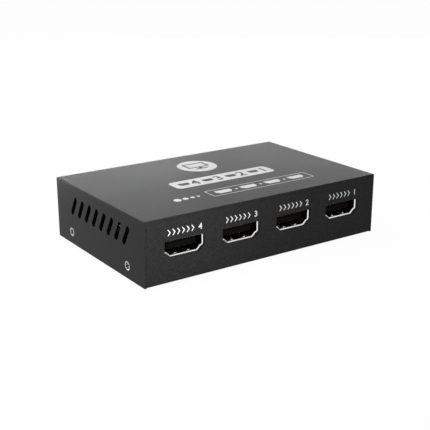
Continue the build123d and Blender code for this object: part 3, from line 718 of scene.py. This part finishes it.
def mouth_plate():
    """The outline of a socket's mouth as one face towards -Y, its middle at the origin."""
    top = MOUTH_HEIGHT / 2
    bpy.ops.object.select_all(action="DESELECT")
    bpy.ops.mesh.primitive_plane_add(
        size=1, location=(0, 0, top - MOUTH_SIDE / 2), rotation=(math.pi / 2, 0, 0)
    )
    plate = bpy.context.active_object
    plate.scale = (MOUTH_WIDTH, MOUTH_SIDE, 1)
    settle(plate)
    wide = MOUTH_WIDTH
    rest = MOUTH_HEIGHT - MOUTH_SIDE - MOUTH_LEDGE_DROP
    for drop, width in ((MOUTH_LEDGE_DROP, MOUTH_WIDTH - 2 * MOUTH_LEDGE), (rest, MOUTH_FLOOR)):
        lowest = min(point.co.z for point in plate.data.vertices)
        select_edges(plate, lambda a, b: max(a.z, b.z) < lowest + TINY)
        bpy.ops.mesh.extrude_region_move(TRANSFORM_OT_translate={"value": (0, 0, -drop)})
        bpy.ops.transform.resize(value=(width / wide, 1, 1), center_override=(0, 0, 0))
        leave_edit()
        wide = width
    select_whole(plate)
    bpy.ops.mesh.normals_make_consistent(inside=False)
    bpy.ops.mesh.dissolve_limited(angle_limit=math.radians(1))
    bpy.ops.mesh.select_mode(type="VERT")
    bpy.ops.mesh.select_all(action="SELECT")
    bpy.ops.mesh.bevel(offset=FOLD_RADIUS, segments=4, affect="VERTICES", clamp_overlap=True)
    leave_edit()
    return plate


def make_shell():
    """A socket's metal sleeve, its rim at the origin: drawn out, thickened, slit and dimpled.

    Its inner wall is painted near black as shade, and its rim, lead-in chamfer and outer wall
    are plated.
    """
    low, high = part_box("output_1_shell")
    leg_length = high.z - SHELL_WALL - MOUTH_HEIGHT / 2 - low.z
    shell = mouth_plate()
    select_whole(shell)
    bpy.ops.mesh.extrude_region_move(TRANSFORM_OT_translate={"value": (0, SHELL_DEPTH, 0)})
    leave_edit()
    select_faces(shell, lambda middle, normal: abs(normal.y) > 0.9)
    bpy.ops.mesh.delete(type="FACE")
    bpy.ops.mesh.select_all(action="SELECT")
    bpy.ops.mesh.normals_make_consistent(inside=False)
    leave_edit()
    shell.data.materials.append(nickel)
    # The second slot is the inner wall's painted shade.
    shell.data.materials.append(painted_shade_inside)
    apply_modifier(
        shell, "SOLIDIFY", thickness=SHELL_WALL, offset=1, use_even_offset=True,
        material_offset=1, material_offset_rim=0,
    )
    # The front loop of the inner wall, painted black as shade, is chamfered. The selection
    # starts empty.
    select_faces(shell, lambda middle, normal: False)
    shell.active_material_index = 1
    bpy.ops.object.material_slot_select()
    bpy.ops.mesh.region_to_loop()
    leave_edit()
    points = shell.data.vertices
    for edge in shell.data.edges:
        edge.select = edge.select and max(points[n].co.y for n in edge.vertices) < TINY
    bpy.ops.object.mode_set(mode="EDIT")
    bpy.ops.mesh.bevel(offset=LEAD_IN, segments=1, affect="EDGES", material=0)
    leave_edit()
    # Each spring is cut free on three sides by a slit, and has a dimple near its tip.
    for x in (-SPRING_SPACING / 2, SPRING_SPACING / 2):
        slit_size = (SPRING_WIDTH + 2 * SPRING_SLIT, SPRING_LENGTH, 2 * MOUTH_HEIGHT)
        slit = new_block(slit_size, (x, SPRING_TIP + SPRING_LENGTH / 2, 0))
        leaf_size = (SPRING_WIDTH, SPRING_LENGTH, 3 * MOUTH_HEIGHT)
        cut(slit, new_block(leaf_size, (x, SPRING_TIP + SPRING_SLIT + SPRING_LENGTH / 2, 0)))
        slit.data.materials.append(nickel)
        cut(shell, slit)
        for z in (-MOUTH_HEIGHT / 2, MOUTH_HEIGHT / 2):
            bpy.ops.object.select_all(action="DESELECT")
            bpy.ops.mesh.primitive_uv_sphere_add(
                segments=16, ring_count=9, radius=DIMPLE_RADIUS,
                location=(x, SPRING_TIP + SPRING_SLIT + DIMPLE_SETBACK, z),
            )
            dimple = bpy.context.active_object
            dimple.scale.z = DIMPLE_HEIGHT / DIMPLE_RADIUS
            dimple.data.materials.append(nickel)
            cut(shell, settle(dimple), "UNION")
    # Four legs go down to the board.
    for x in (-(MOUTH_WIDTH + SHELL_WALL) / 2, (MOUTH_WIDTH + SHELL_WALL) / 2):
        for y in LEG_PLACES:
            leg = new_block((SHELL_WALL, LEG_WIDTH, leg_length), (x, y, -leg_length / 2))
            select_faces(leg, lambda middle, normal: normal.z < -0.5)
            bpy.ops.transform.resize(value=(1, LEG_TIP_SHARE, 1))
            leave_edit()
            leg.data.materials.append(nickel)
            cut(shell, leg, "UNION")
    soften(shell, SHELL_EDGE, edge_slot=0)
    return shell


def place_shells():
    """One shell is copied to the five sockets, turned about for the input."""
    shell = make_shell()
    for socket in SOCKETS:
        low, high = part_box(f"{socket}_shell")
        faces_front = low.y < 0
        one = copied(shell)
        one.rotation_euler = (0, 0, 0 if faces_front else math.pi)
        rim = low.y if faces_front else high.y
        one.location = ((low.x + high.x) / 2, rim, high.z - SHELL_WALL - MOUTH_HEIGHT / 2)
        finish_piece(settle(one), f"{socket}_socket", (f"{socket}_shell",))
    bpy.data.objects.remove(shell)


# Printed marks


def ink_block(width, depth, x=0.0, y=0.0, turn=0.0):
    """A drawn bar, from z = 0 up, like every drawn shape."""
    return settle(new_block((width, depth, DRAWN), (x, y, DRAWN / 2), turn=(0, 0, turn)))


def ink_disc(radius, x=0.0):
    """A drawn disc with its middle at x."""
    bpy.ops.object.select_all(action="DESELECT")
    bpy.ops.mesh.primitive_cylinder_add(
        vertices=64, radius=radius, depth=DRAWN, location=(x, 0, DRAWN / 2)
    )
    return settle(bpy.context.active_object)


def rounded(piece, radius):
    """Rounds the corners of a drawn shape."""
    select_edges(piece, lambda a, b: abs(a.z - b.z) > DRAWN / 2)
    bpy.ops.mesh.bevel(offset=radius, segments=6, affect="EDGES")
    leave_edit()
    return piece


def ink_digit(text, height, x=0.0, y=0.0):
    """A bold digit with its foot at y and its middle at x."""
    bpy.ops.object.select_all(action="DESELECT")
    bpy.ops.object.text_add()
    digit = bpy.context.active_object
    digit.data.body = text
    digit.data.offset = DIGIT_BOLDNESS
    bpy.ops.object.convert(target="MESH")
    digit = bpy.context.active_object
    across = [point.co.x for point in digit.data.vertices]
    up = [point.co.y for point in digit.data.vertices]
    scale = height / (max(up) - min(up))
    digit.scale = (scale, scale, scale)
    digit.location = (x - scale * (min(across) + max(across)) / 2, y - scale * min(up), 0)
    select_whole(settle(digit))
    bpy.ops.mesh.remove_doubles(threshold=TINY)
    bpy.ops.mesh.extrude_region_move(TRANSFORM_OT_translate={"value": (0, 0, DRAWN)})
    bpy.ops.mesh.select_all(action="SELECT")
    bpy.ops.mesh.normals_make_consistent(inside=False)
    leave_edit()
    return digit


def clear(piece, tool):
    """Leaves a drawn shape clear in another one."""
    tool.scale.z = 3
    tool.location.z = -DRAWN
    cut(piece, settle(tool), use_self=True)


def print_on(piece, name, place, upright=False):
    """Presses a drawn shape flat and puts it on the top or the front, half sunk in the coat."""
    piece.location.z = -DRAWN / 2
    settle(piece)
    piece.scale.z = INK / DRAWN
    settle(piece)
    if upright:
        piece.rotation_euler = (math.pi / 2, 0, 0)
    piece.location = place
    return finish_piece(settle(piece), name, material=white_ink)


def ink_chevron(x):
    """An arrow head that points to +X, its middle at half the label's height."""
    half = (LABEL_HEIGHT - CHEVRON_STROKE) / 2
    arm = math.hypot(CHEVRON_REACH, half) + CHEVRON_STROKE
    lean = math.atan2(half, CHEVRON_REACH)
    upper = ink_block(arm, CHEVRON_STROKE, x, LABEL_HEIGHT / 2 + half / 2, -lean)
    cut(upper, ink_block(arm, CHEVRON_STROKE, x, LABEL_HEIGHT / 2 - half / 2, lean), "UNION")
    return upper


def print_labels():
    """Over each output a row of arrow heads and its number."""
    for number in range(1, OUTPUT_COUNT + 1):
        low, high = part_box(f"output_{number}_shell")
        shapes = [ink_chevron(CHEVRON_FIRST + n * CHEVRON_PITCH) for n in range(CHEVRON_COUNT)]
        shapes.append(ink_digit(str(number), LABEL_HEIGHT, LABEL_DIGIT_PLACE))
        place = ((low.x + high.x) / 2, cad_low.y, LABEL_LEVEL)
        print_on(join(shapes), f"output_{number}_print", place, upright=True)


def print_symbol():
    """A filled disc with the sign of a screen on its stand left clear in it."""
    disc = ink_disc(SYMBOL_RADIUS)
    width, depth = SCREEN_SIZE
    clear(disc, ink_block(width, depth, 0, SCREEN_MIDDLE))
    glass = ink_block(width - 2 * SCREEN_LINE, depth - 2 * SCREEN_LINE, 0, SCREEN_MIDDLE)
    stand_level = SCREEN_MIDDLE - (depth + STAND_SIZE[1]) / 2
    clear(disc, ink_block(*STAND_SIZE, 0, stand_level))
    clear(disc, ink_block(*STAND_FOOT, 0, stand_level - (STAND_SIZE[1] + STAND_FOOT[1]) / 2))
    print_on(join([disc, glass]), "symbol_print", (*SYMBOL_PLACE, cad_high.z))


def ink_socket(size, x):
    """A small filled sign in the outline of a socket's mouth."""
    sign = mouth_plate()
    sign.rotation_euler = (-math.pi / 2, 0, 0)
    settle(sign)
    sign.scale = (size[0] / MOUTH_WIDTH, size[1] / MOUTH_HEIGHT, 1)
    sign.location.x = x
    select_whole(settle(sign))
    bpy.ops.mesh.extrude_region_move(TRANSFORM_OT_translate={"value": (0, 0, DRAWN)})
    bpy.ops.mesh.select_all(action="SELECT")
    bpy.ops.mesh.normals_make_consistent(inside=False)
    leave_edit()
    return sign


def print_bar():
    """A rounded bar with the sign and the number of each output left clear in it."""
    bar = rounded(ink_block(*BAR_SIZE), BAR_CORNER)
    for n, text in enumerate("4321"):
        x = (n - (OUTPUT_COUNT - 1) / 2) * BAR_PITCH
        clear(bar, ink_socket(BAR_SIGN_SIZE, x + BAR_SIGN_SHIFT))
        clear(bar, ink_digit(text, BAR_DIGIT_HEIGHT, x + BAR_DIGIT_SHIFT, -BAR_DIGIT_HEIGHT / 2))
    print_on(bar, "bar_print", (*BAR_PLACE, cad_high.z))


def print_frame():
    """A thin frame with four signs of a socket and dots between, and a row of dots beside it."""
    width, depth = FRAME_SIZE
    outline = rounded(ink_block(width, depth), FRAME_CORNER)
    inside = ink_block(width - 2 * FRAME_LINE, depth - 2 * FRAME_LINE)
    clear(outline, rounded(inside, FRAME_CORNER - FRAME_LINE))
    places = [(n - (OUTPUT_COUNT - 1) / 2) * SIGN_PITCH for n in range(OUTPUT_COUNT)]
    signs = [ink_socket(SIGN_SIZE, x) for x in places]
    signs += [ink_disc(SIGN_DOT_RADIUS, x + SIGN_PITCH / 2) for x in places[:-1]]
    print_on(join([outline] + signs), "frame_print", (*FRAME_PLACE, cad_high.z))
    dots = [ink_disc(radius, x) for radius, x in zip(DOT_RADII, DOT_PLACES)]
    print_on(join(dots), "dots_print", (0, FRAME_PLACE.y, cad_high.z))


make_cover()
make_screws()
dressed("base_tray", SHEET_EDGE, powder_coat, "housing_tray")
place_shells()
for socket in SOCKETS:
    # The tongues' black plastic is darkened as painted shade.
    dressed(f"{socket}_tongue", INSERT_EDGE, moulding, f"{socket}_insert")
dressed("rubber_feet", FOOT_EDGE, foot_rubber, "housing_feet")
dressed("power_jack_housing", JACK_EDGE, moulding, "power_socket_housing")
dressed("power_jack_pin", JACK_PIN_EDGE, nickel, "power_socket_pin")
dressed("power_switch_can", SWITCH_CAN_EDGE, tinned, "slide_switch_can")
dressed(
    "power_switch_slider", LEVER_EDGE, slider_black, "slide_switch_lever",
    SWITCH_BODY,
)
dressed("power_lamp", LAMP_EDGE, lamp_red, "lamp_block")
dressed("cooling_block", COOLING_BLOCK_EDGE, aluminium, "finned_block")
dressed("capacitor_cans", CAPACITOR_EDGE, aluminium, "capacitor_tops")
print_labels()
print_symbol()
print_bar()
print_frame()

# CAD nodes whose shape is right take a finer material
NODE_FINISH = {
    "circuit_board": solder_mask,
    "board_screws": zinc,
    "board_standoffs": brass,
    "splitter_chip": chip_black,
    "thermal_pad": pad_grey,
    "control_chip": chip_black,
    "memory_chip": chip_black,
    "chip_leads": tinned,
    "voltage_regulators": chip_black,
    "power_choke": chip_black,
    "capacitor_bases": moulding,
    "crystal": tinned,
    "surge_guards": chip_black,
    "chip_resistors": chip_black,
    "chip_capacitors": ceramic,
    "power_jack_spring": tinned,
    "power_lamp_wires": tinned,
    "power_switch_base": moulding,
    "power_switch_pins": tinned,
}
for socket in SOCKETS:
    # The contacts take the darkened gold, a painted shade.
    NODE_FINISH[f"{socket}_contacts"] = gold
for node, material in NODE_FINISH.items():
    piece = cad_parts[node]
    piece.data.materials.clear()
    piece.data.materials.append(material)


# Floor, light and camera


def make_floor():
    """A pale floor: near white to the camera and in reflections, with a soft shadow on it."""
    bpy.ops.object.select_all(action="DESELECT")
    bpy.ops.mesh.primitive_plane_add(size=FLOOR_SIDE, location=(0, 0, 0))
    floor = bpy.context.active_object
    floor.name = "floor"
    material = bpy.data.materials.new("pale floor")
    material.use_nodes = True
    nodes, links = material.node_tree.nodes, material.node_tree.links
    shader = nodes["Principled BSDF"]
    shader.inputs["Base Color"].default_value = (FLOOR_PAINT, FLOOR_PAINT, FLOOR_PAINT, 1)
    shader.inputs["Roughness"].default_value = 0.9
    shader.inputs["Specular IOR Level"].default_value = 0.0
    glow = nodes.new("ShaderNodeEmission")
    glow.inputs["Strength"].default_value = 1.0
    share = seen_directly(nodes, links, FLOOR_WHITE_SHARE)
    blend = nodes.new("ShaderNodeMixShader")
    links.new(share, blend.inputs["Fac"])
    links.new(shader.outputs["BSDF"], blend.inputs[1])
    links.new(glow.outputs["Emission"], blend.inputs[2])
    links.new(blend.outputs["Shader"], nodes["Material Output"].inputs["Surface"])
    floor.data.materials.append(material)


def seen_directly(nodes, links, share):
    """The given share for camera, glossy and transmission rays, and 0 for all others."""
    rays = nodes.new("ShaderNodeLightPath")
    first = nodes.new("ShaderNodeMath")
    first.operation = "MAXIMUM"
    both = nodes.new("ShaderNodeMath")
    both.operation = "MAXIMUM"
    scaled = nodes.new("ShaderNodeMath")
    scaled.operation = "MULTIPLY"
    scaled.inputs[1].default_value = share
    links.new(rays.outputs["Is Camera Ray"], first.inputs[0])
    links.new(rays.outputs["Is Glossy Ray"], first.inputs[1])
    links.new(first.outputs["Value"], both.inputs[0])
    links.new(rays.outputs["Is Transmission Ray"], both.inputs[1])
    links.new(both.outputs["Value"], scaled.inputs[0])
    return scaled.outputs["Value"]


def make_world():
    """An even pale surround: plain white where it is seen, and softer as light."""
    world = bpy.data.worlds.new("studio")
    bpy.context.scene.world = world
    world.use_nodes = True
    nodes, links = world.node_tree.nodes, world.node_tree.links
    background = nodes["Background"]
    background.inputs["Color"].default_value = (1, 1, 1, 1)
    seen = seen_directly(nodes, links, 1.0)
    level = nodes.new("ShaderNodeMapRange")
    level.inputs["To Min"].default_value = WORLD_LIGHT
    level.inputs["To Max"].default_value = 1.0
    links.new(seen, level.inputs["Value"])
    links.new(level.outputs["Result"], background.inputs["Strength"])


def softbox(name, place, aim, width, height, power, mirrored):
    """A rectangular area light that points at a place, and may be left out of reflections."""
    lamp = bpy.data.lights.new(name, "AREA")
    lamp.shape = "RECTANGLE"
    lamp.size = width
    lamp.size_y = height
    lamp.energy = power
    holder = bpy.data.objects.new(name, lamp)
    bpy.context.scene.collection.objects.link(holder)
    holder.location = place
    holder.rotation_euler = (Vector(aim) - Vector(place)).to_track_quat("-Z", "Y").to_euler()
    holder.visible_camera = False
    holder.visible_glossy = mirrored


def make_camera():
    """The photograph's viewing angle: 18 degrees above the horizon, from the front left."""
    camera = bpy.data.cameras.new("camera")
    camera.lens = CAMERA_LENS
    camera.sensor_width = CAMERA_SENSOR
    camera.clip_start = CAMERA_CLIP
    holder = bpy.data.objects.new("camera", camera)
    bpy.context.scene.collection.objects.link(holder)
    holder.location = CAMERA_PLACE
    back = Vector((
        math.sin(CAMERA_AZIMUTH) * math.cos(CAMERA_ELEVATION),
        -math.cos(CAMERA_AZIMUTH) * math.cos(CAMERA_ELEVATION),
        math.sin(CAMERA_ELEVATION),
    ))
    holder.rotation_euler = (-back).to_track_quat("-Z", "Y").to_euler()
    bpy.context.scene.camera = holder


middle = (cad_low + cad_high) / 2
front_left = (-0.040, -0.0305, 0.012)
left_wall = (-0.048, 0.02, 0.012)
# Name, place, aim, width, height, power, and whether it shows in reflections. The first one
# lights everything. The two small ones give the front and the left wall their fall-off. The two
# low ones behind brighten the far part of the top.
LAMPS = (
    ("top light", (-0.25, 0.25, 0.75), middle, 0.7, 0.7, 3.6, True),
    ("front light", (-0.046, -0.080, 0.04), front_left, 0.03, 0.03, 0.036, False),
    ("side light", (-0.062, 0.12, 0.02), left_wall, 0.02, 0.03, 0.17, True),
    ("back right light", (0.32, 0.50, 0.045), middle, 0.45, 0.03, 0.84, True),
    ("back light", (0.20, 0.56, 0.045), middle, 0.25, 0.03, 0.54, True),
)
make_floor()
make_world()
for lamp_values in LAMPS:
    softbox(*lamp_values)
make_camera()
bpy.context.scene.view_settings.view_transform = "Standard"
